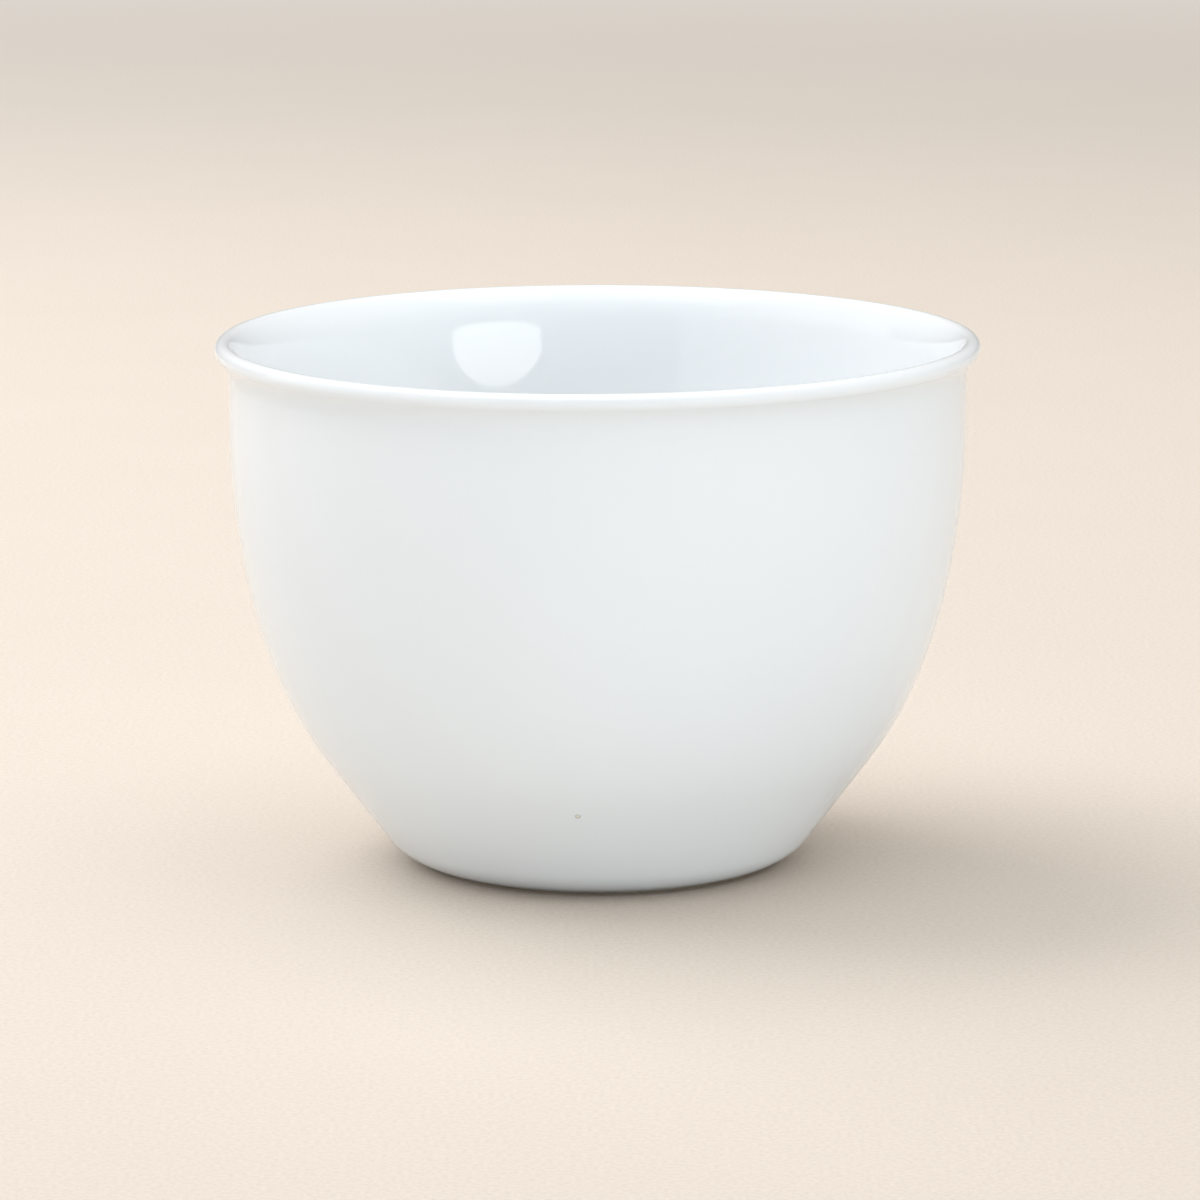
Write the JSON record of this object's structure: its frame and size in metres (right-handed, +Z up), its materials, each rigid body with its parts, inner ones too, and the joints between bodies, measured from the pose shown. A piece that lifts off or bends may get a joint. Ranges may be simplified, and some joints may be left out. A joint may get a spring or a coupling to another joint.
{
  "type": "tea cup",
  "caption": "Handleless white porcelain tea cup: a deep round bowl with a rolled, turned-out lip, a tapered lower wall and a foot ring to stand on.",
  "frame": {"origin": "middle of the circle that the foot rests on, on the plane of the table", "axes": "+Z up along the cup's axis and out of its mouth; +X and +Y lie in the table, and the picture looks along +Y"},
  "size_m": [0.088, 0.088, 0.0609],
  "materials": {
    "porcelain": "fired white clay, covered by glaze",
    "bare_foot": "bare fired clay, fine and matt",
    "glaze": "clear gloss over white, faintly blue"
  },
  "bodies": {
    "root": {"porcelain_bowl": "porcelain", "rolled_lip": "porcelain", "foot_ring": "bare_foot", "glaze_coat": "glaze", "base_glaze": "glaze"}
  },
  "joints": []
}
